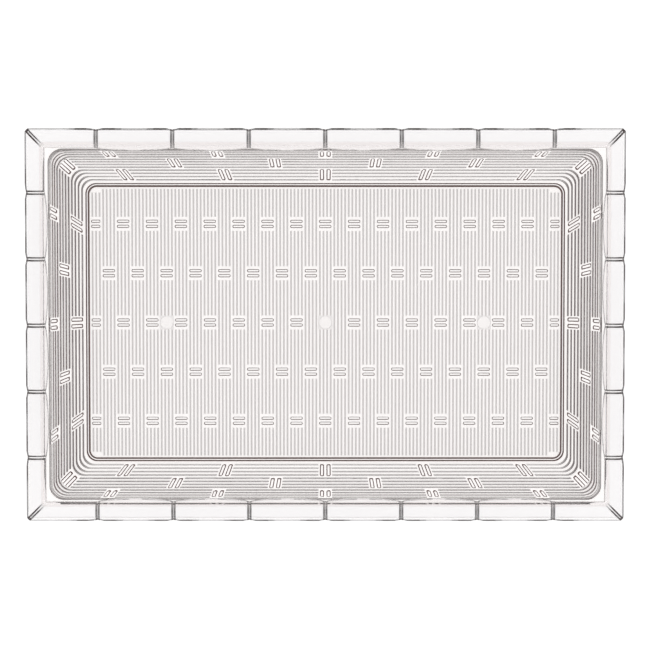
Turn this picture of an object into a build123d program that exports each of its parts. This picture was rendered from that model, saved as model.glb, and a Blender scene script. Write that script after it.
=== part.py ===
from build123d import *
import os
from math import acos, cos, degrees, radians, sin, sqrt, tan

# Clear plastic humidity tray with a bamboo-look rim. Millimetres, Z up, origin at the middle of the
# footprint on the surface that the tray stands on. X runs along the length and Y along the width.

# Overall sizes
tray_length = 450.0
tray_width = 296.0
tray_height = 35.0

# Shell: floor, foot ring and dished wall. The bands are what is left plain between the ribbed wall
# and the widest part of the rim, on the short ends and on the long sides.
wall_thickness = 2.2
floor_thickness = 2.1
foot_height = 2.0
foot_width = 1.9
foot_corner_radius = 8.3
wall_top_corner_radius = 11.0
wall_foot_angle = 20.0
wall_top_angle = 62.0
lip_angle = 76.0
end_band = 0.6
side_band = -0.7

# Flange at the top of the wall, which carries the rails
flange_thickness = 2.4
flange_setback = 10.4
flange_corner_radius = 4.0

# Moulded relief on the outside: ribs round the wall, and ribs under the floor that give way to pairs
# of short bars on plain pads
relief_height = 0.6
wall_rib_count = 12
wall_rib_lead = 2.0
floor_rib_pitch = 2.75
ribs_per_stave = 4
floor_margin = 2.0
floor_row_count = 5
floor_row_pitch = 37.5
floor_pad_depth = 10.6
bar_length = 9.4
bar_width = 2.3
bar_pitch = 3.85
gate_stave = 11

# Rim rails: barrel segments like the joints of a bamboo cane, hollow underneath
rail_width = 16.2
rail_rise = 7.3
rail_drop = 3.4
crown_sagitta = 4.2
long_rail_segments = 8
short_rail_segments = 6
cane_overrun = 3.6
node_dip_outer = 1.1
node_dip_inner = 2.0
node_shoulder = 4.5
inner_swell = 1.0
node_groove_width = 4.0
node_groove_depth = 1.8
rail_wall = 3.0
leg_width = 4.0
mitre_gap = 0.1
corner_chamfer = 2.6

# Tongue under each rail and the groove for it in the flange
tongue_width = 1.5
tongue_depth = 1.2
tongue_inset = 0.4
tongue_clearance = 0.12

# Heights and radii that follow from the sizes above
floor_top = foot_height + floor_thickness
flange_top = tray_height - rail_rise
flange_bottom = flange_top - flange_thickness
wall_rise = flange_bottom - foot_height
wall_radius = wall_rise / (cos(radians(wall_foot_angle)) - cos(radians(wall_top_angle)))
wall_centre_height = foot_height + wall_radius * cos(radians(wall_foot_angle))
wall_run = wall_radius * (sin(radians(wall_top_angle)) - sin(radians(wall_foot_angle)))
foot_half_length = tray_length / 2 - rail_width - end_band - wall_run
foot_half_width = tray_width / 2 - rail_width - side_band - wall_run
rail_bottom = flange_top - rail_drop
rail_edge = tray_height - crown_sagitta
crown_radius = (rail_width ** 2 / 4 + crown_sagitta ** 2) / (2 * crown_sagitta)
leg_outer = rail_width - leg_width
tongue_outer = leg_outer + tongue_inset
tongue_inner = tongue_outer + tongue_width


# Evenly spaced values from first to last
def spread(first, last, count):
    return [first + (last - first) * i / (count - 1) for i in range(count)]


# A point of the wall's profile, lifted off its outer face along the normal (inwards if negative):
# how far it lies outside the foot ring, and its height
def wall_point(angle, lift):
    reach = wall_radius + lift
    run = reach * sin(radians(angle)) - wall_radius * sin(radians(wall_foot_angle))
    height = wall_centre_height - reach * cos(radians(angle))
    return run, height


# Level outline of the dished wall at a distance outside the foot ring
def outline(run, height):
    corner_radius = foot_corner_radius + (wall_top_corner_radius - foot_corner_radius) * run / wall_run
    with BuildSketch(Plane.XY.offset(height)) as section:
        RectangleRounded(2 * (foot_half_length + run), 2 * (foot_half_width + run), corner_radius)
    return section.sketch


# Outer face of the wall, with ribs round it that each have a sharp crest
rib_first_angle = wall_foot_angle + wall_rib_lead
rib_step = (wall_top_angle - rib_first_angle) / wall_rib_count
rib_sections = [outline(*wall_point(wall_foot_angle, 0))]
for rib in range(wall_rib_count):
    valley_angle = rib_first_angle + rib * rib_step
    rib_sections.append(outline(*wall_point(valley_angle, 0)))
    rib_sections.append(outline(*wall_point(valley_angle + rib_step / 2, relief_height)))
rib_sections.append(outline(*wall_point(wall_top_angle, 0)))

# Inner face of the wall, from the floor up to the lip at the flange
inner_section_count = 8
inner_radius = wall_radius - wall_thickness
floor_edge_angle = degrees(acos((wall_centre_height - floor_top) / inner_radius))
inner_top_run, inner_top_height = wall_point(wall_top_angle, -wall_thickness)
lip_run = inner_top_run + (flange_top - inner_top_height) / tan(radians(lip_angle))
inner_sections = [outline(*wall_point(angle, -wall_thickness))
                  for angle in spread(floor_edge_angle, wall_top_angle, inner_section_count)]
inner_sections.append(outline(lip_run, flange_top))

# Ribs under the floor run along the width, in staves of a few ribs. In each row a plain pad with a
# pair of bars takes the place of every second stave, and of the staves between them in the next row.
# The middle row also has three plain spots, where the plastic enters the mould.
panel_half_length = foot_half_length - foot_width - floor_margin
panel_half_width = foot_half_width - foot_width - floor_margin
stave_width = ribs_per_stave * floor_rib_pitch
stave_reach = int(panel_half_length / stave_width + 0.5)
staves = range(-stave_reach, stave_reach + 1)
gate_staves = (-gate_stave, 0, gate_stave)
crest_level = foot_height - relief_height
pad_staves = {}
for row in range(-(floor_row_count // 2), floor_row_count // 2 + 1):
    pad_staves[row] = [stave for stave in staves if (stave + row) % 2 == 0]


# Cross-section of the floor panel with some staves plain: level on top, ribbed below
def panel_profile(plain_staves):
    points = [(-panel_half_length, floor_top), (-panel_half_length, foot_height)]
    for stave in staves:
        if stave not in plain_staves:
            for rib in range(ribs_per_stave):
                start, crest, end = [((stave - 0.5) * ribs_per_stave + rib + share) * floor_rib_pitch
                                     for share in (0, 0.5, 1)]
                points += [(start, foot_height), (crest, crest_level), (end, foot_height)]
    points += [(panel_half_length, foot_height), (panel_half_length, floor_top)]
    inside = []
    for point in points:
        if abs(point[0]) <= panel_half_length and point not in inside:
            inside.append(point)
    return inside


# The floor panel is a row of bands across the length, each with its own plain staves
row_edges = [row * floor_row_pitch + side * floor_pad_depth / 2 for row in pad_staves for side in (-1, 1)]
band_edges = [-panel_half_width] + row_edges + [panel_half_width]
with BuildPart() as floor_panel:
    for band in range(len(band_edges) - 1):
        row = band // 2 - floor_row_count // 2
        plain_staves = pad_staves[row] if band % 2 == 1 else []
        if band % 2 == 1 and row == 0:
            plain_staves = [*plain_staves, *gate_staves]
        with BuildSketch(Plane.XZ.offset(-band_edges[band])):
            with BuildLine():
                Polyline(*panel_profile(plain_staves), close=True)
            make_face()
        extrude(amount=band_edges[band] - band_edges[band + 1])
    with BuildSketch(Plane.XY.offset(crest_level)) as bars:
        for row in pad_staves:
            for stave in pad_staves[row]:
                if row != 0 or stave not in gate_staves:
                    with Locations((stave * stave_width, row * floor_row_pitch)):
                        with GridLocations(0, bar_pitch, 1, 2):
                            Rectangle(bar_length, bar_width)
        Rectangle(2 * panel_half_length, 2 * panel_half_width, mode=Mode.INTERSECT)
    extrude(amount=floor_thickness)

# Tray shell: the dished wall, the foot ring, the floor and the flange with its groove
flange_half_length = tray_length / 2 - flange_setback
flange_half_width = tray_width / 2 - flange_setback
groove_outer = tongue_outer - tongue_clearance
groove_inner = tongue_inner + tongue_clearance
groove_depth = tongue_depth + tongue_clearance
with BuildPart() as tray_shell:
    loft(rib_sections, ruled=True)
    with BuildSketch() as foot_ring:
        RectangleRounded(2 * foot_half_length, 2 * foot_half_width, foot_corner_radius)
        offset(amount=-foot_width, mode=Mode.SUBTRACT)
    extrude(amount=foot_height)
    with BuildSketch(Plane.XY.offset(flange_bottom)) as flange:
        RectangleRounded(2 * flange_half_length, 2 * flange_half_width, flange_corner_radius)
    extrude(amount=flange_thickness)
    loft(inner_sections, ruled=True, mode=Mode.SUBTRACT)
    with BuildSketch(Plane.XY.offset(flange_top)) as flange_groove:
        Rectangle(tray_length - 2 * groove_outer, tray_width - 2 * groove_outer)
        Rectangle(tray_length - 2 * groove_inner, tray_width - 2 * groove_inner, mode=Mode.SUBTRACT)
    extrude(amount=-groove_depth, mode=Mode.SUBTRACT)
    with BuildSketch() as panel_window:
        Rectangle(2 * panel_half_length, 2 * panel_half_width)
    extrude(amount=floor_top, mode=Mode.SUBTRACT)
    add(floor_panel.part)


# A rail along X on the front of a tray whose outer face lies half_depth from the middle
def make_rail(length, half_depth, segments):
    node_pitch = (length + 2 * cane_overrun) / segments
    cane_end = segments * node_pitch / 2
    segment_places = [(i - (segments - 1) / 2) * node_pitch for i in range(segments)]
    node_places = [(i - segments / 2) * node_pitch for i in range(1, segments)]
    outer_side = -half_depth
    inner_side = rail_width - half_depth
    outer_node = outer_side + node_dip_outer
    inner_node = inner_side - node_dip_inner
    inner_shoulder = inner_side - inner_swell
    middle = (outer_side + inner_side) / 2
    channel_near = outer_side + rail_wall
    channel_far = outer_side + leg_outer
    channel_radius = crown_radius - rail_wall
    near_height, far_height = [tray_height - crown_radius + sqrt(channel_radius ** 2 - (side - middle) ** 2)
                               for side in (channel_near, channel_far)]
    with BuildPart() as rail:
        # Crowned bar
        with BuildSketch(Plane.YZ.offset(-cane_end)) as bar_section:
            with BuildLine():
                Polyline((outer_side, rail_edge), (outer_side, rail_bottom),
                         (inner_side, rail_bottom), (inner_side, rail_edge))
                ThreePointArc((inner_side, rail_edge), (middle, tray_height), (outer_side, rail_edge))
            make_face()
        extrude(amount=2 * cane_end)
        # Seen from above, each segment has shoulders at its nodes and swells towards the inside
        with BuildSketch(Plane.XY.offset(rail_bottom)) as cane_outline:
            for place in segment_places:
                near_node, far_node = place - node_pitch / 2, place + node_pitch / 2
                near_shoulder, far_shoulder = near_node + node_shoulder, far_node - node_shoulder
                with BuildLine():
                    Polyline((near_shoulder, inner_shoulder), (near_node, inner_node),
                             (near_node, outer_node), (near_shoulder, outer_side),
                             (far_shoulder, outer_side), (far_node, outer_node),
                             (far_node, inner_node), (far_shoulder, inner_shoulder))
                    ThreePointArc((far_shoulder, inner_shoulder), (place, inner_side),
                                  (near_shoulder, inner_shoulder))
                make_face()
        extrude(amount=tray_height, mode=Mode.INTERSECT)
        # Hollow underside, which follows the crown, and the room under the leg for the flange
        with BuildSketch(Plane.YZ.offset(-length)) as channel:
            with BuildLine():
                Polyline((channel_near, near_height), (channel_near, rail_bottom),
                         (channel_far, rail_bottom), (channel_far, far_height))
                ThreePointArc((channel_far, far_height), (middle, tray_height - rail_wall),
                              (channel_near, near_height))
            make_face()
            with Locations(((channel_near + inner_side) / 2, (rail_bottom + flange_top) / 2)):
                Rectangle(inner_side - channel_near, flange_top - rail_bottom)
        extrude(amount=2 * length, mode=Mode.SUBTRACT)
        # Tongue under the leg
        with BuildSketch(Plane.YZ.offset(-length / 2)) as tongue:
            with Locations(((tongue_outer + tongue_inner) / 2 - half_depth, flange_top)):
                Rectangle(tongue_width, 2 * tongue_depth)
        extrude(amount=length)
        # Grooves across the crown at the nodes
        with BuildSketch(Plane.XZ.offset(half_depth - rail_width)) as node_grooves:
            for place in node_places:
                with BuildLine():
                    Polyline((place - node_groove_width, tray_height + node_groove_depth),
                             (place, tray_height - node_groove_depth),
                             (place + node_groove_width, tray_height + node_groove_depth), close=True)
                make_face()
        extrude(amount=rail_width, mode=Mode.SUBTRACT)
        # Mitred ends with the same groove along each mitre, and the corner's sharp edge taken off
        for end in (-1, 1):
            corner = Vector(end * length / 2, -half_depth, 0)
            square = Vector(end, 1, 0).normalized()
            face = corner - square * mitre_gap / 2
            split(bisect_by=Plane(face, z_dir=square), keep=Keep.BOTTOM)
            groove_foot = face + Vector(0, 0, tray_height - node_groove_depth)
            groove_normal = square * node_groove_depth + Vector(0, 0, node_groove_width / 2)
            split(bisect_by=Plane(groove_foot, z_dir=groove_normal), keep=Keep.BOTTOM)
            chamfer_edge = corner - Vector(end * corner_chamfer, 0, 0)
            split(bisect_by=Plane(chamfer_edge, z_dir=Vector(end, -1, 0)), keep=Keep.BOTTOM)
    return rail.part


long_rail = make_rail(tray_length, tray_width / 2, long_rail_segments)
short_rail = make_rail(tray_width, tray_length / 2, short_rail_segments)

with BuildPart() as rim_rail_front:
    add(long_rail)

with BuildPart() as rim_rail_back:
    add(long_rail, rotation=(0, 0, 180))

with BuildPart() as rim_rail_right:
    add(short_rail, rotation=(0, 0, 90))

with BuildPart() as rim_rail_left:
    add(short_rail, rotation=(0, 0, -90))

# One file for each piece
tray_shell.part.label = "tray_shell"
rim_rail_front.part.label = "rim_rail_front"
rim_rail_back.part.label = "rim_rail_back"
rim_rail_right.part.label = "rim_rail_right"
rim_rail_left.part.label = "rim_rail_left"

os.makedirs("parts", exist_ok=True)
for piece in (tray_shell, rim_rail_front, rim_rail_back, rim_rail_right, rim_rail_left):
    export_step(piece.part, f"parts/{piece.part.label}.step")
    print(piece.part.label, round(piece.part.volume), len(piece.part.faces()), piece.part.is_valid)
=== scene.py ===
"""Clear plastic humidity tray with a bamboo-look rim, on a light table, seen almost from straight above.

The shell and the four rails are built here as fine meshes in place of the part's solids. Their main
sizes are those of the solids, and their relief, grooves and edges are finer. Sizes are in millimetres
and angles in radians, and each mesh is scaled to metres when it is made.
"""
import math
from typing import NamedTuple

import bpy
import numpy as np
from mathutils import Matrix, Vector


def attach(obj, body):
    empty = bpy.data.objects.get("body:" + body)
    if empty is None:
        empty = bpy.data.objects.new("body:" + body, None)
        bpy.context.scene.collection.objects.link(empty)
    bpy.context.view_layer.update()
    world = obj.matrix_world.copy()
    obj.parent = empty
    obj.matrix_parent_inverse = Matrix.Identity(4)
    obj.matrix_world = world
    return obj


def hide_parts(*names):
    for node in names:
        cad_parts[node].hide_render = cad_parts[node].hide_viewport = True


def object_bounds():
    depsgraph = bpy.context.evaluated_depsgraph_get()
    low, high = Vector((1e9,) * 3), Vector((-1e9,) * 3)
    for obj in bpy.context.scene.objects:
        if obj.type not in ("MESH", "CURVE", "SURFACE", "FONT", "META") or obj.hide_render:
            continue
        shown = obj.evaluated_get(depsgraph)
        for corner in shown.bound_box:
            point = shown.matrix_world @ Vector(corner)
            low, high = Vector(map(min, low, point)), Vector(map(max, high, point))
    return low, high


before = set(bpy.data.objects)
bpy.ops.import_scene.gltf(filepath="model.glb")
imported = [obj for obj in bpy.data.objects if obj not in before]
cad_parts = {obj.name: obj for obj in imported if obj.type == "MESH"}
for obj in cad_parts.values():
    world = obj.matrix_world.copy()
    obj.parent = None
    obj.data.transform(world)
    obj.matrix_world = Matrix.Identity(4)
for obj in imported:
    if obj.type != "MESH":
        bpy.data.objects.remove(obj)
cad_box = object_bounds()

MM = 0.001

# Overall sizes, from the frame
tray_length = round((cad_box[1].x - cad_box[0].x) / MM, 1)
tray_width = round((cad_box[1].y - cad_box[0].y) / MM, 1)
tray_height = round(cad_box[1].z / MM, 1)

# Shell
wall_thickness = 2.2
floor_thickness = 2.1
foot_height = 2.0
foot_width = 1.9
foot_corner_radius = 8.3
foot_outer_draft = 0.8
foot_inner_draft = 1.5
foot_inner_draft_share = 0.4
foot_edge_round = 0.12
wall_top_corner_radius = 11.0
wall_foot_angle = math.radians(20.0)
wall_top_angle = math.radians(62.0)
lip_angle = math.radians(76.0)
end_band = 0.6
side_band = -0.7
flange_thickness = 2.4
flange_setback = 10.4
flange_corner_radius = 4.0

# Rails
rail_width = 16.2
rail_rise = 7.3
rail_drop = 3.4
crown_sagitta = 4.2
long_rail_segments = 8
short_rail_segments = 6
node_dip_outer = 1.1
node_dip_inner = 2.0
node_shoulder = 4.5
inner_reach = 16.9
inner_swell = 1.2
corner_draw = 2.0
node_groove_half_width = 1.7
node_groove_depth = 1.4
mitre_groove_half_width = 1.55
mitre_groove_depth = 1.3
mitre_groove_flat = 0.35
mitre_groove_fade = (0.5, 0.8)
rail_wall = 3.0
leg_width = 4.0
channel_draft = 0.9
leg_draft = 0.3
bond_gap = 0.02
mitre_gap = 0.1
corner_chamfer = 2.6
outer_bevel = 1.3
outer_bevel_drop = 0.3
inner_bevel = 0.6
inner_bevel_drop = 0.5

# Relief: sharp ribs under the floor and round the wall, which stop at plain pads with pairs of bars
rib_end_taper = 0.5
rib_start_taper = 3.0
bar_height = 0.45
bar_edge = 0.6
bar_width = 2.4
bar_corner_radius = 1.1
floor_rib_height = 0.3
floor_rib_half_width = 0.7
floor_rib_pitch = 2.736
ribs_per_stave = 4
floor_row_count = 5
floor_row_pitch = 37.5
floor_pad_depth = 10.6
bar_length = 9.4
bar_pitch = 3.85
gate_stave = 11
gate_radius = 5.0
gate_depth = 0.12
panel_end_margin = 0.5
panel_side_margin = 0.8
panel_corner_cut = 2.8
wall_rib_height = 0.4
wall_rib_half_width = 0.72
wall_rib_count = 12
wall_rib_lead = math.radians(2.0)
ribs_per_wall_row = 4
wall_bar_width = 3.2
wall_bar_edge = 0.8
wall_bar_corner_radius = 1.2
wall_bar_pitch = 5.0
wall_bar_inner_inset = 1.0
wall_bar_outer_insets = ((0.3, 0.3, 0.9), (0.3, 0.3, 0.3))
wall_pad_margin = 1.3

# Pairs of bars on the walls: how many, and for each row up the wall how far outside the foot ring the
# length reaches that they divide evenly
long_wall_pairs = 5
long_row_spread = (7.5, 7.5, 21.5)
short_wall_pairs = 3
short_row_spread = (6.0, 16.0, 19.5)

# Painted shade: how dark the lines of the relief and the edges are painted into the plastic's colour,
# in place of the shade they show against the light, from 0 to 1
floor_rib_painted_shade = 0.235
floor_bar_painted_shade = 0.68
gate_painted_shade = 0.04
gate_side_painted_shade = 0.15
gate_surround_painted_shade = 0.1
# The short walls are painted with darker shade than the long walls
long_wall_painted_shade = (0.23, 0.54)
short_wall_painted_shade = (0.54, 0.82)
wall_bar_painted_shade = 0.9
foot_outer_painted_shade = 0.85
foot_inner_painted_shade = 1.0
groove_outer_painted_shade = 1.0
groove_inner_painted_shade = 0.45

# Where the painted shade along a rail's edges is darkest: how far from a node, and over what width
outer_peak_reach = 10.5
outer_peak_width = 6.0
inner_peak_reach = 20.0
inner_peak_width = 3.5

# The painted shade of the short walls' topmost rib is lighter by this share of its strength
top_rib_fade = 0.6

# Faint painted shade between the wall's ribs, which rises between two shares of the way up the wall,
# and on the strip of the flange that shows inside the rails
long_wall_shade_between_ribs = 0.06
short_wall_shade_between_ribs = 0.13
shade_between_ribs_rise = (0.2, 0.45)
flange_strip_shade = 0.05

# Fineness of the meshes: points, stations or steps of each kind, and the least that counts
inner_long_stations = 46
inner_short_stations = 28
inner_corner_steps = 16
inner_wall_points = 25
outer_long_stations = 12
outer_short_stations = 8
outer_corner_steps = 28
corner_steps_per_rib = 6
bar_corner_points = 5
gate_points = 40
crown_points = 31
channel_points = 9
lines_between_nodes = 9
lines_beside_node = (2.6, 3.5)
lines_to_corner = 12
first_corner_share = 0.06
mitre_margin = 0.7
settling_steps = 24
bar_lengths_near = 4
least_wall_step = 0.1
least_rib = 0.02
least_groove_slope = 0.1
share_decimals = 5
corner_share_decimals = 3
point_decimals = 3
seam_tolerance = 0.001
sharp_angle = math.radians(30)

# Materials: clear tints, tints of the darkest painted shade lines, and the plastic's gloss and flow
# marks
shell_tint = (1.0, 0.97, 0.96)
shell_shade_tint = (0.014, 0.006, 0.005)
rail_tint = (0.93, 0.916, 0.919)
rail_shade_tint = (0.006, 0.004, 0.0038)
plastic_ior = 1.5
least_roughness = 0.018
most_roughness = 0.042
flow_scale = 22.0
flow_detail = 3.0
flow_tone = 0.985
shade_depth = 0.96
shade_power = 4.0


class RailLook(NamedTuple):
    """What differs between long and short rails: the cane's overrun, a groove's flat, painted shade
    strengths

    The groove's painted shade is given at the rail's outer side, middle and inner side, and an edge's
    painted shade by its least and its peak.
    """
    overrun: float
    groove_flat: float
    groove_shades: tuple
    mitre_shade: float
    outer_edge_shades: tuple
    inner_edge_shades: tuple


long_rail_look = RailLook(overrun=3.6, groove_flat=0.12, groove_shades=(0.5, 0.66, 0.3),
                          mitre_shade=0.65, outer_edge_shades=(0.2, 0.95), inner_edge_shades=(0.12, 0.45))
short_rail_look = RailLook(overrun=1.5, groove_flat=0.45, groove_shades=(1.0, 0.58, 0.5),
                           mitre_shade=1.0, outer_edge_shades=(0.45, 1.0), inner_edge_shades=(0.24, 0.24))

# Values that follow from these
floor_top = foot_height + floor_thickness
flange_top = tray_height - rail_rise
flange_bottom = flange_top - flange_thickness
wall_radius = (flange_bottom - foot_height) / (math.cos(wall_foot_angle) - math.cos(wall_top_angle))
wall_centre_height = foot_height + wall_radius * math.cos(wall_foot_angle)
wall_run = wall_radius * (math.sin(wall_top_angle) - math.sin(wall_foot_angle))
foot_half = np.array([tray_length / 2 - rail_width - end_band - wall_run,
                      tray_width / 2 - rail_width - side_band - wall_run])
rib_first_angle = wall_foot_angle + wall_rib_lead
rib_step = (wall_top_angle - rib_first_angle) / wall_rib_count
rail_bottom = flange_top - rail_drop
crown_radius = (rail_width ** 2 / 4 + crown_sagitta ** 2) / (2 * crown_sagitta)
crown_axis = tray_height - crown_radius
leg_outer = rail_width - leg_width
wall_rows = wall_rib_count // ribs_per_wall_row


class Skin:
    """Points and faces of one mesh, with a painted shade strength for each face"""

    def __init__(self):
        self.points = []
        self.faces = []
        self.shade_strengths = []

    def add(self, points):
        """Adds points and returns their numbers, in the shape of the array without its last axis"""
        points = np.asarray(points, float)
        first = len(self.points)
        self.points.extend(points.reshape(-1, 3).tolist())
        return np.arange(first, len(self.points)).reshape(points.shape[:-1])

    def face(self, corners, shade_strength=0.0):
        self.faces.append([int(corner) for corner in corners])
        self.shade_strengths.append(float(shade_strength))

    def grid(self, numbers, closed=False, flip=False, shade_strengths=None):
        """Faces over a grid of point numbers, joined round its first axis if closed"""
        if closed:
            numbers = np.concatenate([numbers, numbers[:1]])
        quads = np.stack([numbers[:-1, :-1], numbers[1:, :-1], numbers[1:, 1:], numbers[:-1, 1:]], -1)
        if flip:
            quads = quads[..., ::-1]
        values = np.zeros(quads.shape[:2])
        if shade_strengths is not None:
            values = values + shade_strengths
        self.faces.extend(quads.reshape(-1, 4).tolist())
        self.shade_strengths.extend(values.reshape(-1).tolist())

    def stitch(self, first, second, flip=False):
        """Triangles between two closed loops that run the same way round, by their share of the way"""
        points = np.array(self.points)
        second = np.asarray(second)
        shift = int(np.argmin(np.linalg.norm(points[second] - points[first[0]], axis=1)))
        loops = []
        for loop in (np.asarray(first), np.roll(second, -shift)):
            loop = np.append(loop, loop[0])
            steps = np.linalg.norm(np.diff(points[loop], axis=0), axis=1)
            loops.append((loop, np.append(0, np.cumsum(steps)) / steps.sum()))
        (loop_a, share_a), (loop_b, share_b) = loops
        a = b = 0
        while a < len(loop_a) - 1 or b < len(loop_b) - 1:
            if a == len(loop_a) - 1 or (b < len(loop_b) - 1 and share_b[b + 1] < share_a[a + 1]):
                corners = [loop_a[a], loop_b[b + 1], loop_b[b]]
                b += 1
            else:
                corners = [loop_a[a], loop_a[a + 1], loop_b[b]]
                a += 1
            self.face(corners[::-1] if flip else corners)

    def build(self, name):
        """The object with this mesh, in metres"""
        mesh = bpy.data.meshes.new(name)
        mesh.from_pydata((np.array(self.points) * MM).tolist(), [], self.faces)
        # The per-face painted shade strengths, which darken the plastic's colour along the relief's
        # lines and edges
        shade_strength = mesh.attributes.new("line", "FLOAT", "FACE")
        shade_strength.data.foreach_set("value", np.array(self.shade_strengths, np.float32))
        mesh.polygons.foreach_set("use_smooth", [True] * len(mesh.polygons))
        mesh.set_sharp_from_angle(angle=sharp_angle)
        mesh.update()
        piece = bpy.data.objects.new(name, mesh)
        bpy.context.scene.collection.objects.link(piece)
        return piece


def ramp(low, high, value):
    """0 at low, 1 at high and a straight line between"""
    return np.clip((value - low) / (high - low), 0, 1)


def wall_point(angle, lift):
    """How far a point of the wall's profile lies outside the foot ring, and its height"""
    reach = wall_radius + lift
    run = reach * np.sin(angle) - wall_radius * math.sin(wall_foot_angle)
    return run, wall_centre_height - reach * np.cos(angle)


def wall_angle(run):
    """Angle of the wall's outer face at a distance outside the foot ring"""
    return math.asin(math.sin(wall_foot_angle) + run / wall_radius)


def corner_radius(run):
    """Corner radius of the dished wall at a distance outside the foot ring"""
    return foot_corner_radius + (wall_top_corner_radius - foot_corner_radius) * run / wall_run


class Round:
    """Stations round a rounded rectangle: shares of the straight sides, and turns at the corners"""

    def __init__(self, long_shares, short_shares, corner_shares):
        stations = []
        sides = ((0, -1, long_shares), (1, 0, short_shares), (0, 1, long_shares), (-1, 0, short_shares))
        for number, (nx, ny, shares) in enumerate(sides):
            for share in shares:
                along = share if number < 2 else -share
                stations.append((along, ny, nx, ny) if nx == 0 else (nx, along, nx, ny))
            for share in corner_shares:
                turn = math.pi / 2 * (number - 1 + share)
                direction = (math.cos(turn), math.sin(turn))
                stations.append((*np.sign(direction), *direction))
        stations = np.array(stations)
        self.centres = stations[:, :2]
        self.normals = stations[:, 2:]

    def ring(self, half, radius, height):
        """Points round a rounded rectangle, one for each station"""
        plan = self.centres * (np.asarray(half) - radius) + self.normals * radius
        return np.column_stack([plan, np.full(len(plan), height)])

    def wall(self, angles, lifts):
        """Points of the dished wall, a row for each station and a column for each angle"""
        run, height = wall_point(angles, lifts)
        run, height = np.broadcast_arrays(run, height)
        if run.ndim == 1:
            run, height = run[None, :], height[None, :]
        radius = corner_radius(run)
        plan = [self.centres[:, None, axis] * (foot_half[axis] + run - radius)
                + self.normals[:, None, axis] * radius for axis in (0, 1)]
        return np.stack([*plan, height + 0 * plan[0]], -1)


def pair_shares(pairs, staggered):
    """Shares of a wall's half length at which a row has its pairs of bars"""
    if staggered:
        return [(2 * i - pairs) / pairs for i in range(1, pairs)]
    return [(2 * i + 1 - pairs) / pairs for i in range(pairs)]


def row_runs(row):
    """Distances outside the foot ring at which a row of the wall begins and ends"""
    start = rib_first_angle + row * ribs_per_wall_row * rib_step
    return [wall_point(angle, 0)[0] for angle in (start, start + ribs_per_wall_row * rib_step)]


def pair_places(axis, row):
    """Places of a row's pairs along a wall, and the share of the wall's straight length at each"""
    pairs, spread = ((long_wall_pairs, long_row_spread), (short_wall_pairs, short_row_spread))[axis]
    run = sum(row_runs(row)) / 2
    straight = foot_half[axis] + run - corner_radius(run)
    places = [share * (foot_half[axis] + spread[row]) for share in pair_shares(pairs, row % 2 == 1)]
    return [(place, place / straight) for place in places], straight


def wall_pairs(row):
    """The pairs of bars of a row

    Each has its middle, the directions along the ribs and up the wall, its lean and its bars' ends.
    """
    inner_run, outer_run = row_runs(row)
    run = (inner_run + outer_run) / 2
    radius_growth = (wall_top_corner_radius - foot_corner_radius) / wall_run
    low = inner_run - run + wall_bar_inner_inset
    high = [outer_run - run - insets[row] for insets in wall_bar_outer_insets]
    pairs = []
    for side in (-1, 1):
        for axis in (0, 1):
            along = np.eye(2)[axis]
            up = side * np.eye(2)[1 - axis]
            for place, share in pair_places(axis, row)[0]:
                middle = place * along + up * (foot_half[1 - axis] + run)
                pairs.append((middle, along, up, share * (1 - radius_growth), low, high[axis]))
        for end in (-1, 1) if row % 2 == 1 else ():
            diagonal = np.array([end, side])
            middle = diagonal * (foot_half + run - (1 - math.sqrt(0.5)) * corner_radius(run))
            along = np.array([end, -side]) / math.sqrt(2)
            longer = (math.sqrt(2) - 1) * (outer_run - inner_run) / 2
            pairs.append((middle, along, diagonal / math.sqrt(2), 0.0, low - longer, high[0] + longer))
    return pairs


def bar_distance(along, across, length):
    """How far a point lies outside a bar with rounded corners, by its place along and across it"""
    beyond_x = np.abs(along) - (length / 2 - wall_bar_corner_radius)
    beyond_y = np.abs(across) - (wall_bar_width / 2 - wall_bar_corner_radius)
    outside = np.hypot(np.maximum(beyond_x, 0), np.maximum(beyond_y, 0))
    return outside + np.minimum(np.maximum(beyond_x, beyond_y), 0) - wall_bar_corner_radius


def wall_relief(plan, angles):
    """The relief at points of the wall

    Gives its height, how far up a rib and how far on a pad a point lies, and if it is on a bar's side.
    """
    phases = np.broadcast_to((angles - rib_first_angle) / rib_step, plan.shape[:2])
    from_crest = np.abs(phases - np.floor(phases) - 0.5) * rib_step * wall_radius
    ribs = np.where(phases > 0, 1 - ramp(0, wall_rib_half_width, from_crest), 0)
    pads = np.zeros(plan.shape[:2])
    bars = np.zeros(plan.shape[:2])
    sides = np.zeros(plan.shape[:2])
    pad_half = (wall_bar_pitch + wall_bar_width) / 2 + wall_pad_margin
    for row in range(wall_rows):
        first = row * ribs_per_wall_row
        columns = np.nonzero((phases[0] >= first) & (phases[0] <= first + ribs_per_wall_row))[0]
        for middle, along, up, lean, low, high in wall_pairs(row):
            offset = plan[:, columns] - middle
            near = np.nonzero((np.abs(offset) < bar_lengths_near * (high - low)).all(-1).any(1))[0]
            height = offset[near] @ up
            across = offset[near] @ along - lean * height
            target = np.ix_(near, columns)
            pad = ramp(pad_half + bar_edge / 2, pad_half - bar_edge / 2, np.abs(across))
            pads[target] = np.maximum(pads[target], pad)
            for side in (-1, 1):
                bar_across = across - side * wall_bar_pitch / 2
                distance = bar_distance(height - (low + high) / 2, bar_across, high - low)
                bars[target] = np.maximum(bars[target], ramp(0, -wall_bar_edge, distance))
                on_side = np.abs(distance + wall_bar_edge / 2) < wall_bar_edge / 2
                sides[target] = np.maximum(sides[target], on_side)
    ribs = ribs * (1 - pads)
    return np.maximum(wall_rib_height * ribs, bar_height * bars), ribs, pads, sides


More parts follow.
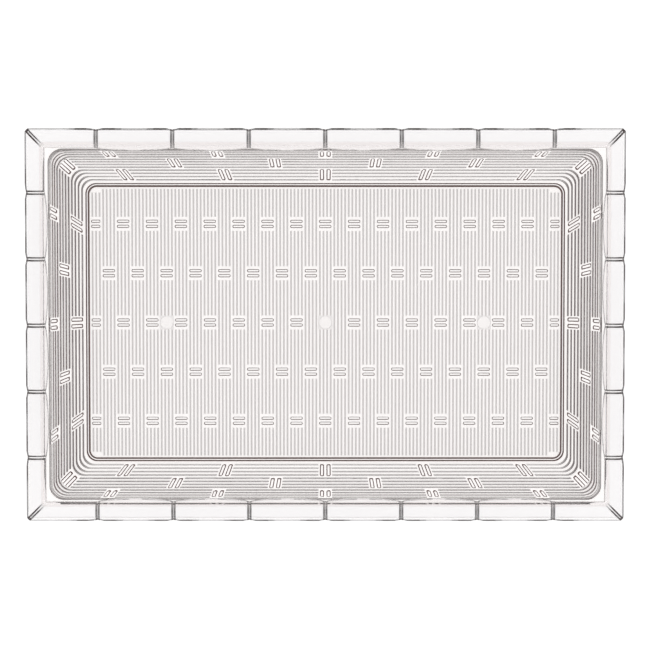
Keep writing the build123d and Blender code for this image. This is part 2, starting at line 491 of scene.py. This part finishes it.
def pair_offsets():
    """Places across a pair of wall bars where the relief bends, from the middle of the pair"""
    pad_half = (wall_bar_pitch + wall_bar_width) / 2 + wall_pad_margin
    offsets = [side * (pad_half + step) for side in (-1, 1) for step in (-bar_edge / 2, bar_edge / 2)]
    for side in (-1, 1):
        for edge in (-1, 1):
            for step in (0, wall_bar_edge, wall_bar_corner_radius):
                offsets.append(side * wall_bar_pitch / 2 + edge * (wall_bar_width / 2 - step))
    return np.array(sorted(offsets))


def side_shares(axis, others):
    """Shares of a straight side of the wall at which it needs stations, with some others in between"""
    shares = [np.linspace(-1, 1, others)]
    for row in range(wall_rows):
        pairs, straight = pair_places(axis, row)
        shares += [(place + pair_offsets()) / straight for place, _ in pairs]
    shares = np.unique(np.round(np.concatenate(shares), share_decimals))
    return shares[np.abs(shares) <= 1]


def wall_angles():
    """Angles at which the wall's outer face needs points, from the foot ring to the flange"""
    steps = np.array([0, wall_bar_edge, wall_bar_corner_radius])
    angles = [wall_angle(foot_outer_draft / 2), rib_first_angle, wall_top_angle]
    for rib in range(wall_rib_count):
        crest = rib_first_angle + (rib + 0.5) * rib_step
        angles += [crest + step * wall_rib_half_width / wall_radius for step in (-1, 0, 1)]
    for row in range(wall_rows):
        inner_run, outer_run = row_runs(row)
        runs = list(inner_run + wall_bar_inner_inset + steps)
        for inset in sorted({insets[row] for insets in wall_bar_outer_insets}):
            runs += list(outer_run - inset - steps)
        angles += [wall_angle(run) for run in runs]
        if row % 2 == 1:
            phases = np.arange(ribs_per_wall_row * corner_steps_per_rib) / corner_steps_per_rib
            phases = phases + row * ribs_per_wall_row
            angles += list(rib_first_angle + phases * rib_step)
    angles = np.unique(np.round(angles, share_decimals))
    return angles[np.append(True, np.diff(angles) > least_wall_step / wall_radius)]


def bar_outline(centre, half_length, half_width, radius):
    """Points round a bar, from the middle of one end, the same number on both long sides"""
    corners = []
    for number in range(4):
        turn = math.pi / 2 * (number + 0.5)
        middle = (math.copysign(half_length - radius, math.cos(turn)),
                  math.copysign(half_width - radius, math.sin(turn)))
        for step in np.linspace(-math.pi / 4, math.pi / 4, bar_corner_points):
            corners.append((centre[0] + middle[0] + radius * math.cos(turn + step),
                            centre[1] + middle[1] + radius * math.sin(turn + step)))
    half = 2 * bar_corner_points
    near_end, far_end = [(centre[0] + side * half_length, centre[1]) for side in (-1, 1)]
    return [far_end, *corners[:half], near_end, *corners[half:]]


class FloorPanel:
    """Underside of the floor: ribs along the width in staves, and plain pads with pairs of bars"""

    def __init__(self, skin, half, level):
        self.skin = skin
        self.half_length, self.half_width = half
        self.level = level
        self.numbers = {}
        self.stave_width = ribs_per_stave * floor_rib_pitch
        self.reach = int(self.half_length / self.stave_width + 0.5)
        self.rows = range(-(floor_row_count // 2), floor_row_count // 2 + 1)
        self.seam_places = []
        for row in self.rows:
            for offset in (floor_pad_depth / 2, bar_pitch / 2):
                self.seam_places += [row * floor_row_pitch - offset, row * floor_row_pitch + offset]
        for stave in (0, self.reach):
            start = self.rib_start(stave)
            self.seam_places += [-start, start]
        self.seam_places = sorted(set(self.seam_places))
        for stave in range(-self.reach, self.reach + 1):
            self.add_stave(stave)

    def point(self, x, y, depth=0.0):
        key = tuple(round(value, point_decimals) for value in (x, y, depth))
        if key not in self.numbers:
            self.numbers[key] = int(self.skin.add([x, y, self.level - depth]))
        return self.numbers[key]

    def under(self, corners, shade_strength=0.0):
        """A face that looks down, from points that run anticlockwise seen from above"""
        self.skin.face(corners[::-1], shade_strength)

    def end(self, stave):
        """Half width of the panel at the far edge of a stave"""
        return self.half_width - (panel_corner_cut if abs(stave) == self.reach else 0)

    def rib_start(self, stave):
        return self.end(stave) - rib_end_taper

    def edges(self, stave):
        """Where a stave begins and ends along the length"""
        near, far = (stave - 0.5) * self.stave_width, (stave + 0.5) * self.stave_width
        return max(near, -self.half_length), min(far, self.half_length)

    def crests(self, stave):
        near, far = self.edges(stave)
        places = [((stave - 0.5) * ribs_per_stave + rib + 0.5) * floor_rib_pitch
                  for rib in range(ribs_per_stave)]
        return [x for x in places if near + floor_rib_half_width < x < far - floor_rib_half_width]

    def seam(self, x, first, last):
        """Points on the edge of a stave strictly between two places, in that order"""
        low, high = min(first, last), max(first, last)
        places = [y for y in self.seam_places if low + seam_tolerance < y < high - seam_tolerance]
        return [self.point(x, y) for y in (places if last > first else places[::-1])]

    def across(self, stave, y):
        """Points across a stave where its ribs end, without its edges"""
        return [self.point(x + side * floor_rib_half_width, y)
                for x in self.crests(stave) for side in (-1, 1)]

    def add_stave(self, stave):
        start = self.rib_start(stave)
        pads = [row for row in self.rows
                if (stave + row) % 2 == 0 or (row == 0 and abs(stave) in (0, gate_stave))]
        stops = [-start]
        for row in pads:
            middle = row * floor_row_pitch
            stops += [middle - floor_pad_depth / 2, middle + floor_pad_depth / 2]
            self.add_pad(stave, row)
        stops.append(start)
        for first, last in zip(stops[::2], stops[1::2]):
            self.add_ribs(stave, first, last)
        for side in (-1, 1):
            self.add_end(stave, side)

    def add_ribs(self, stave, first, last):
        near, far = self.edges(stave)
        crests = self.crests(stave)
        tapers = [rib_start_taper if abs(y) == self.rib_start(stave) else rib_end_taper
                  for y in (first, last)]
        left = near
        for x in crests:
            low, high = x - floor_rib_half_width, x + floor_rib_half_width
            base = [self.point(low, first), self.point(high, first),
                    self.point(high, last), self.point(low, last)]
            tops = [self.point(x, first + tapers[0], floor_rib_height),
                    self.point(x, last - tapers[1], floor_rib_height)]
            # The rib's flanks carry painted shade, a dark line in place of the shade that light through
            # them shows
            self.under([base[0], base[1], tops[0]], floor_rib_painted_shade)
            self.under([base[1], base[2], tops[1], tops[0]], floor_rib_painted_shade)
            self.under([base[2], base[3], tops[1]], floor_rib_painted_shade)
            self.under([base[3], base[0], tops[0], tops[1]], floor_rib_painted_shade)
            flat = [self.point(left, first), base[0], base[3], self.point(left, last)]
            if left == near:
                flat += self.seam(near, last, first)
            self.under(flat)
            left = x + floor_rib_half_width
        self.under([self.point(left, first), self.point(far, first), *self.seam(far, first, last),
                    self.point(far, last), self.point(left, last)])

    def add_end(self, stave, side):
        """The plain strip between the ribs of a stave and the edge of the panel"""
        near, far = self.edges(stave)
        start = side * self.rib_start(stave)
        ends = (-self.half_length, self.half_length)
        outer = [side * self.end(stave if x in ends else 0) for x in (near, far)]
        corners = [self.point(near, outer[0]), self.point(far, outer[1]),
                   *self.seam(far, outer[1], start), self.point(far, start),
                   *self.across(stave, start)[::-1], self.point(near, start),
                   *self.seam(near, start, outer[0])]
        self.under(corners if side < 0 else corners[::-1])

    def add_pad(self, stave, row):
        near, far = self.edges(stave)
        middle = row * floor_row_pitch
        low, high = middle - floor_pad_depth / 2, middle + floor_pad_depth / 2
        bottom = [self.point(near, low), *self.across(stave, low), self.point(far, low)]
        top = [self.point(far, high), *self.across(stave, high)[::-1], self.point(near, high)]
        if row == 0 and abs(stave) in (0, gate_stave):
            self.add_gate(stave, bottom, top)
            return
        centre = stave * self.stave_width
        bar_near = max(centre - bar_length / 2, near + bar_edge)
        bar_far = min(centre + bar_length / 2, far - bar_edge)
        edges = []
        for side in (-1, 1):
            place = ((bar_near + bar_far) / 2, middle + side * bar_pitch / 2)
            edges.append(self.add_bar(place, (bar_far - bar_near) / 2))
        (low_top, low_bottom), (high_top, high_bottom) = edges
        low_bar, high_bar = middle - bar_pitch / 2, middle + bar_pitch / 2
        near_points = [self.point(near, low_bar), self.point(near, high_bar)]
        far_points = [self.point(far, low_bar), self.point(far, high_bar)]
        self.under([*bottom, far_points[0], *low_bottom[::-1], near_points[0]])
        self.under([near_points[0], *low_top, *far_points, *high_bottom[::-1], near_points[1]])
        self.under([near_points[1], *high_top, far_points[1], *top])

    def add_gate(self, stave, bottom, top):
        """A shallow round gate mark in a pad of the middle row, between the pad's two given edges"""
        near, far = self.edges(stave)
        turns = np.arange(gate_points) * 2 * math.pi / gate_points
        rings = []
        for radius, depth in ((gate_radius, 0.0), (gate_radius - gate_depth, -gate_depth)):
            centre = stave * self.stave_width
            rings.append([self.point(centre + radius * math.cos(turn), radius * math.sin(turn), depth)
                          for turn in turns])
        rim, base = rings
        # Painted shade: the gate's side, its base and the pad around it are tinted darker in the
        # plastic's colour
        for i in range(gate_points):
            following = (i + 1) % gate_points
            self.under([rim[i], rim[following], base[following], base[i]], gate_side_painted_shade)
        self.under(base, gate_painted_shade)
        half = gate_points // 2
        near_points = [self.point(near, side * bar_pitch / 2) for side in (-1, 1)]
        far_points = [self.point(far, side * bar_pitch / 2) for side in (-1, 1)]
        lower = [*bottom, far_points[0], rim[0], *rim[:half - 1:-1], near_points[0]]
        upper = [near_points[0], *rim[half::-1], *far_points, *top, near_points[1]]
        for surround in (lower, upper):
            self.under(surround, gate_surround_painted_shade)

    def add_bar(self, place, half_length):
        """A raised bar. Returns the points along its two long sides, from its near to its far end"""
        rings = []
        for step, depth in ((0.0, 0.0), (-bar_edge, bar_height)):
            outline = bar_outline(place, half_length + step, bar_width / 2 + step,
                                  bar_corner_radius + step)
            rings.append([self.point(x, y, depth) for x, y in outline])
        base, top = rings
        # The bar's sides carry painted shade, a dark line in the plastic's colour
        for i in range(len(base)):
            following = (i + 1) % len(base)
            self.under([base[i], base[following], top[following], top[i]], floor_bar_painted_shade)
        self.under(top)
        half = len(base) // 2
        return base[half::-1], [*base[half:], base[0]]

    def border(self):
        """Points round the edge of the panel, anticlockwise seen from above"""
        seams = [self.edges(stave)[1] for stave in range(-self.reach, self.reach)]
        end = self.end(self.reach)
        loop = [self.point(x, -self.half_width) for x in seams]
        loop += [self.point(self.half_length, -end), *self.seam(self.half_length, -end, end),
                 self.point(self.half_length, end)]
        loop += [self.point(x, self.half_width) for x in seams[::-1]]
        loop += [self.point(-self.half_length, end), *self.seam(-self.half_length, end, -end),
                 self.point(-self.half_length, -end)]
        return loop


def make_shell():
    """The dished shell with its floor, foot ring and flange"""
    skin = Skin()
    coarse = Round(np.linspace(-1, 1, inner_long_stations), np.linspace(-1, 1, inner_short_stations),
                   np.arange(1, inner_corner_steps) / inner_corner_steps)

    # Inside: the floor, the wall, the lip and the flange
    inner_radius = wall_radius - wall_thickness
    floor_edge_angle = math.acos((wall_centre_height - floor_top) / inner_radius)
    inner_angles = np.linspace(floor_edge_angle, wall_top_angle, inner_wall_points)
    inner_wall = coarse.wall(inner_angles, -wall_thickness)
    inner_top_run, inner_top_height = wall_point(wall_top_angle, -wall_thickness)
    lip_run = inner_top_run + (flange_top - inner_top_height) / math.tan(lip_angle)
    tray_half = np.array([tray_length, tray_width]) / 2
    rings = [coarse.ring(foot_half + lip_run, corner_radius(lip_run), flange_top),
             coarse.ring(tray_half - inner_reach, wall_top_corner_radius, flange_top),
             coarse.ring(tray_half - flange_setback, flange_corner_radius, flange_top),
             coarse.ring(tray_half - flange_setback, flange_corner_radius, flange_bottom)]
    top = skin.add(np.concatenate([inner_wall, np.stack(rings, 1)], 1))
    # Painted shade on the strip of the flange that shows inside the rails
    shade_strengths = np.zeros(top.shape[1] - 1)
    lip_to_rail = -3
    shade_strengths[lip_to_rail] = flange_strip_shade
    skin.grid(top, closed=True, flip=True, shade_strengths=shade_strengths)
    skin.face(top[:, 0])

    # Outside: the ribbed wall with its bars
    corner_middle = corner_radius(wall_run / 2)
    corner_pair = pair_offsets() / (corner_middle * math.pi / 2) + 0.5
    corner_even = np.arange(1, outer_corner_steps) / outer_corner_steps
    corner_shares = np.concatenate([corner_pair, corner_even])
    corner_shares = np.unique(np.round(corner_shares, corner_share_decimals))
    outer = Round(side_shares(0, outer_long_stations), side_shares(1, outer_short_stations),
                  corner_shares[(corner_shares > 0) & (corner_shares < 1)])
    angles = wall_angles()
    plan = outer.wall(angles, 0.0)[..., :2]
    lifts = wall_relief(plan, angles)[0]
    points = outer.wall(angles, lifts)
    points[:, -1, 2] = flange_bottom
    wall = skin.add(points)
    round_plan = np.concatenate([plan, plan[:1]])
    cell_plan = (round_plan[:-1, :-1] + round_plan[1:, :-1]
                 + round_plan[1:, 1:] + round_plan[:-1, 1:]) / 4
    cell_angles = (angles[:-1] + angles[1:]) / 2
    _, ribs, pads, sides = wall_relief(cell_plan, cell_angles)
    # Painted shade for each face of the wall: dark lines on the ribs and the bars' sides, painted darker
    # up the wall and darker on the short walls than the long ones, and faint painted shade between the
    # ribs higher up
    up_wall = ramp(wall_foot_angle, wall_top_angle, cell_angles)
    long_shade, short_shade = [low + (high - low) * up_wall
                             for low, high in (long_wall_painted_shade, short_wall_painted_shade)]
    on_short = np.abs(outer.normals[:, :1])
    on_top_rib = cell_angles > wall_top_angle - rib_step
    rib_shade = long_shade + (short_shade - long_shade) * on_short
    rib_shade = rib_shade * (1 - top_rib_fade * on_short * on_top_rib)
    wall_shade_between_ribs = long_wall_shade_between_ribs + (short_wall_shade_between_ribs - long_wall_shade_between_ribs) * on_short
    shade_between_ribs = wall_shade_between_ribs * ramp(*shade_between_ribs_rise, up_wall) * (1 - pads)
    shade_strengths = np.maximum(np.where(ribs > least_rib, rib_shade, shade_between_ribs), sides * wall_bar_painted_shade)
    skin.grid(wall, closed=True, shade_strengths=shade_strengths)
    skin.stitch(top[:, -1], wall[:, -1], flip=True)

    # Foot ring, with tapered sides
    outer_side = foot_outer_draft / 2
    inner_start = foot_width - foot_inner_draft_share * foot_inner_draft
    inner_end = inner_start + foot_inner_draft
    profile = ((outer_side, foot_edge_round), (outer_side + foot_edge_round, 0),
               (inner_start - foot_edge_round, 0), (inner_start, foot_edge_round),
               (inner_end, foot_height))
    rings = [outer.ring(foot_half - inset, foot_corner_radius - inset, height)
             for inset, height in profile]
    foot = np.concatenate([wall[:, :1], skin.add(np.stack(rings, 1))], 1)
    # Painted shade on the foot ring's outer and inner sides
    lines = np.array([foot_outer_painted_shade, foot_outer_painted_shade, 0, foot_inner_painted_shade, foot_inner_painted_shade])
    skin.grid(foot, closed=True, flip=True, shade_strengths=lines)

    # Underside of the floor
    margins = np.array([panel_end_margin, panel_side_margin])
    panel = FloorPanel(skin, foot_half - inner_end - margins, foot_height)
    skin.stitch(foot[:, -1], panel.border(), flip=True)
    return skin.build("tray_shell_mesh")


class Rail:
    """A capping rail of cane segments along X, on the front of a tray half_depth from the middle"""

    def __init__(self, length, half_depth, segments, look):
        self.half_length = length / 2
        self.half_depth = half_depth
        self.look = look
        self.pitch = (length + 2 * look.overrun) / segments
        self.nodes = (np.arange(segments + 1) - segments / 2) * self.pitch

    def from_node(self, x):
        return np.min(np.abs(x - self.nodes))

    def outer_depth(self, x):
        """Depth of the outer side at x, with the nodes drawn in and the corner cut off"""
        dip = node_dip_outer * (1 - ramp(0, node_shoulder, self.from_node(x)))
        return max(dip, abs(x) - (self.half_length - corner_chamfer), 0)

    def inner_depth(self, x):
        """Depth of the inner side at x, which swells between the nodes but not towards the corner"""
        reach = self.from_node(x)
        if abs(x) > self.nodes[-2]:
            beyond = ramp(0, node_shoulder, abs(x) - self.nodes[-2])
            return inner_reach - node_dip_inner + (node_dip_inner - corner_draw) * beyond
        share = (self.pitch / 2 - reach) / (self.pitch / 2 - node_shoulder)
        swell = inner_swell * min(share, 1) ** 2
        shoulder = (node_dip_inner - inner_swell) * (1 - ramp(0, node_shoulder, reach))
        return inner_reach - swell - shoulder

    def crown(self, depth):
        return crown_axis + math.sqrt(crown_radius ** 2 - (depth - rail_width / 2) ** 2)

    def groove(self, x, depth):
        """How deep a node's groove, or the mitre's, which fades inwards, is cut into the crown"""
        from_mitre = (self.half_length - depth - abs(x)) / math.sqrt(2)
        node = 1 - ramp(self.look.groove_flat, node_groove_half_width, self.from_node(x))
        mitre = 1 - ramp(mitre_groove_flat, mitre_groove_half_width, from_mitre)
        fade = 1 - ramp(*mitre_groove_fade, depth / rail_width)
        return max(node_groove_depth * node, mitre_groove_depth * mitre * fade)

    def settle(self, edge, place):
        """Depth at which a line across the rail meets one of its sides"""
        depth = edge(place(0.0))
        for _ in range(settling_steps):
            depth = (depth + edge(place(depth))) / 2
        return depth

    def section(self, place):
        """Points of the rail along a line across it, whose place gives X by depth"""
        outer = self.settle(self.outer_depth, place)
        inner = self.settle(self.inner_depth, place)
        channel_radius = crown_radius - rail_wall
        profile = [(outer, rail_bottom), (outer, self.crown(outer) - outer_bevel_drop)]
        for depth in np.linspace(outer + outer_bevel, inner - inner_bevel, crown_points):
            profile.append((depth, self.crown(depth) - self.groove(place(depth), depth)))
        profile += [(inner, self.crown(inner) - inner_bevel_drop), (inner, flange_top + bond_gap),
                    (leg_outer + leg_draft, flange_top + bond_gap)]
        for depth in np.linspace(leg_outer, rail_wall, channel_points):
            rise = math.sqrt(channel_radius ** 2 - (depth - rail_width / 2) ** 2)
            profile.append((depth, crown_axis + rise))
        profile.append((rail_wall - channel_draft, rail_bottom))
        return [(place(depth), depth - self.half_depth, height) for depth, height in profile]

    def straight(self, x):
        return lambda depth: x

    def mitred(self, side, share, apart):
        """A line at a share of the way from the last node to a line apart from the mitre"""
        node = side * self.nodes[-2]

        def place(depth):
            end = side * (self.half_length - depth - mitre_gap / 2 - apart * math.sqrt(2))
            return node + (end - node) * share
        return place

    def lines(self):
        """Lines across the rail, from its left to its right end"""
        flat = self.look.groove_flat
        groove = (-node_groove_half_width, -flat, flat, node_groove_half_width)
        beside = np.array([*lines_beside_node, node_shoulder])
        between = np.linspace(node_shoulder, self.pitch - node_shoulder, lines_between_nodes + 2)[1:-1]
        segment = np.concatenate([groove, beside, between, self.pitch - beside[::-1]])
        found = [self.straight(node + offset) for node in self.nodes[1:-2] for offset in segment]
        found += [self.straight(self.nodes[-2] + offset) for offset in groove]
        plain = mitre_groove_half_width + mitre_margin
        ends = [(share, plain) for share in np.linspace(first_corner_share, 1, lines_to_corner)]
        ends += [(1, mitre_groove_half_width), (1, mitre_groove_flat), (1, 0)]
        left = [self.mitred(-1, *end) for end in ends[::-1]]
        right = [self.mitred(1, *end) for end in ends]
        return left + found + right

    def edge_shades(self, places, lines, peak_reach, peak_width):
        """Painted shade strengths at places along an edge, strongest at a distance from the nodes"""
        reach = np.abs(places[:, None] - self.nodes[None, 1:-1]).min(1)
        low, peak = lines
        return low + (peak - low) * np.exp(-((reach - peak_reach) / peak_width) ** 2)

    def build(self, name, turn):
        """The rail as an object, turned about the tray's middle"""
        lines = self.lines()
        points = np.array([self.section(place) for place in lines])

        # Painted shade strengths: the outer bevel, the grooves of the crown and the inner bevel
        outer_bevel_span = 1
        crown_start = outer_bevel_span + 1
        inner_bevel_span = outer_bevel_span + crown_points
        mitre_spans = [0, 1, -2, -1]
        crown = points[:, crown_start:crown_start + crown_points]
        cuts = np.array([[self.groove(x, y + self.half_depth) for x, y, _ in row] for row in crown])
        steps = np.linalg.norm(np.diff(crown[..., :2], axis=0), axis=-1)
        slopes = np.clip(np.abs(np.diff(cuts, axis=0)) / steps, 0, 1)
        shade_strengths = np.zeros((len(lines) - 1, points.shape[1]))
        depths = crown[:-1, :-1, 1] + self.half_depth
        groove_shade_weight = np.interp(depths, (0, rail_width / 2, rail_width), self.look.groove_shades)
        groove_shade_weight[mitre_spans] = self.look.mitre_shade
        shade_strengths[:, crown_start:inner_bevel_span] = groove_shade_weight * (slopes[:, 1:] + slopes[:, :-1]) / 2
        places = (crown[:-1, :, 0] + crown[1:, :, 0]) / 2
        outer_places, inner_places = places[:, 0], places[:, -1]
        outer = self.edge_shades(outer_places, self.look.outer_edge_shades, outer_peak_reach, outer_peak_width)
        inner = self.edge_shades(inner_places, self.look.inner_edge_shades, inner_peak_reach, inner_peak_width)
        inner[np.abs(inner_places) > self.nodes[-2]] = self.look.inner_edge_shades[0]
        outer_cut, inner_cut = [slopes[:, column] > least_groove_slope for column in (0, -1)]
        shade_strengths[:, outer_bevel_span] = np.where(outer_cut, groove_outer_painted_shade, outer)
        shade_strengths[:, inner_bevel_span] = np.where(inner_cut, groove_inner_painted_shade, inner)

        cosine, sine = math.cos(turn), math.sin(turn)
        turned = np.stack([points[..., 0] * cosine - points[..., 1] * sine,
                           points[..., 0] * sine + points[..., 1] * cosine, points[..., 2]], -1)
        skin = Skin()
        numbers = skin.add(turned)
        skin.grid(np.concatenate([numbers, numbers[:, :1]], 1), shade_strengths=shade_strengths)
        skin.face(numbers[0])
        skin.face(numbers[-1][::-1])
        return skin.build(name)


def clear_plastic_with_painted_shade(name, tint, line_tint):
    """Polished clear plastic with faint flow marks, and painted shade that darkens it along the lines of
    its relief and edges
    """
    material = bpy.data.materials.new(name)
    material.use_nodes = True
    nodes = material.node_tree.nodes
    links = material.node_tree.links
    shader = nodes["Principled BSDF"]
    shader.inputs["Transmission Weight"].default_value = 1.0
    shader.inputs["IOR"].default_value = plastic_ior
    coordinates = nodes.new("ShaderNodeTexCoord")
    flow = nodes.new("ShaderNodeTexNoise")
    flow.inputs["Scale"].default_value = flow_scale
    flow.inputs["Detail"].default_value = flow_detail
    links.new(coordinates.outputs["Object"], flow.inputs["Vector"])
    tone = nodes.new("ShaderNodeMix")
    tone.data_type = "RGBA"
    tone.inputs["A"].default_value = (*tint, 1)
    tone.inputs["B"].default_value = (*[value * flow_tone for value in tint], 1)
    links.new(flow.outputs["Fac"], tone.inputs["Factor"])
    # Painted shade: the per-face strengths darken the base colour towards the dark tint along the
    # relief's lines and edges
    lines = nodes.new("ShaderNodeAttribute")
    lines.attribute_name = "line"
    clearness = nodes.new("ShaderNodeMath")
    clearness.operation = "MULTIPLY_ADD"
    clearness.inputs[1].default_value = -shade_depth
    clearness.inputs[2].default_value = 1.0
    links.new(lines.outputs["Fac"], clearness.inputs[0])
    clear_share = nodes.new("ShaderNodeMath")
    clear_share.operation = "POWER"
    clear_share.inputs[1].default_value = shade_power
    links.new(clearness.outputs["Value"], clear_share.inputs[0])
    shade = nodes.new("ShaderNodeMix")
    shade.data_type = "RGBA"
    shade.inputs["A"].default_value = (*line_tint, 1)
    links.new(clear_share.outputs["Value"], shade.inputs["Factor"])
    links.new(tone.outputs["Result"], shade.inputs["B"])
    links.new(shade.outputs["Result"], shader.inputs["Base Color"])
    gloss = nodes.new("ShaderNodeMapRange")
    gloss.inputs["To Min"].default_value = least_roughness
    gloss.inputs["To Max"].default_value = most_roughness
    links.new(flow.outputs["Fac"], gloss.inputs["Value"])
    links.new(gloss.outputs["Result"], shader.inputs["Roughness"])
    return material


def make_floor():
    """The white light table that the tray stands on, in metres"""
    half = 8.0
    gap_below_tray = 0.0002
    white = 0.92
    roughness = 0.9
    glow = 0.91
    mesh = bpy.data.meshes.new("light_table")
    corners = [(-half, -half, 0), (half, -half, 0), (half, half, 0), (-half, half, 0)]
    mesh.from_pydata(corners, [], [(0, 1, 2, 3)])
    floor = bpy.data.objects.new("light_table", mesh)
    floor.location.z = -gap_below_tray
    bpy.context.scene.collection.objects.link(floor)
    material = bpy.data.materials.new("light_table_white")
    material.use_nodes = True
    shader = material.node_tree.nodes["Principled BSDF"]
    shader.inputs["Base Color"].default_value = (white, white, white, 1)
    shader.inputs["Roughness"].default_value = roughness
    shader.inputs["Emission Color"].default_value = (1, 1, 1, 1)
    shader.inputs["Emission Strength"].default_value = glow
    mesh.materials.append(material)


def make_light():
    """A soft dome over the light table, bright near the horizon and dim overhead"""
    bright_below, bright = 0.05, 1.0
    dim_above, dim = 0.55, 0.15
    world = bpy.data.worlds.new("studio")
    bpy.context.scene.world = world
    world.use_nodes = True
    nodes = world.node_tree.nodes
    links = world.node_tree.links
    background = nodes["Background"]
    coordinates = nodes.new("ShaderNodeTexCoord")
    parts = nodes.new("ShaderNodeSeparateXYZ")
    links.new(coordinates.outputs["Generated"], parts.inputs["Vector"])
    dome = nodes.new("ShaderNodeValToRGB")
    low_end, high_end = dome.color_ramp.elements
    low_end.position = bright_below
    low_end.color = (bright, bright, bright, 1)
    high_end.position = dim_above
    high_end.color = (dim, dim, dim, 1)
    links.new(parts.outputs["Z"], dome.inputs["Fac"])
    links.new(dome.outputs["Color"], background.inputs["Color"])
    background.inputs["Strength"].default_value = 1.0


def make_camera():
    """The photograph's view: a long lens, nearly overhead, in metres"""
    distance = 2.595
    tilt = math.radians(4.30)
    aim = Vector((-0.0002, -0.00205, 0.0))
    focal_pixels = 3415.0
    picture_pixels = 650.0
    data = bpy.data.cameras.new("camera")
    data.sensor_width = 36.0
    data.lens = focal_pixels / picture_pixels * data.sensor_width
    camera = bpy.data.objects.new("camera", data)
    camera.location = aim + distance * Vector((0, math.sin(tilt), math.cos(tilt)))
    camera.rotation_euler = (-tilt, 0, 0)
    bpy.context.scene.collection.objects.link(camera)
    bpy.context.scene.camera = camera


shell_plastic = clear_plastic_with_painted_shade("clear_shell", shell_tint, shell_shade_tint)
rail_plastic = clear_plastic_with_painted_shade("clear_rail", rail_tint, rail_shade_tint)

shell = make_shell()
shell.data.materials.append(shell_plastic)
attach(shell, "root")
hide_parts("tray_shell")

for side, degrees in (("front", 0), ("right", 90), ("back", 180), ("left", -90)):
    if degrees % 180 == 0:
        rail_shape = Rail(tray_length, tray_width / 2, long_rail_segments, long_rail_look)
    else:
        rail_shape = Rail(tray_width, tray_length / 2, short_rail_segments, short_rail_look)
    rail = rail_shape.build(f"rim_rail_{side}_mesh", math.radians(degrees))
    rail.data.materials.append(rail_plastic)
    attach(rail, "root")
    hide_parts(f"rim_rail_{side}")

make_floor()
make_light()
make_camera()

scene = bpy.context.scene
scene.view_settings.view_transform = "Standard"
scene.cycles.max_bounces = 24
scene.cycles.transmission_bounces = 20
scene.cycles.glossy_bounces = 12
scene.cycles.diffuse_bounces = 4
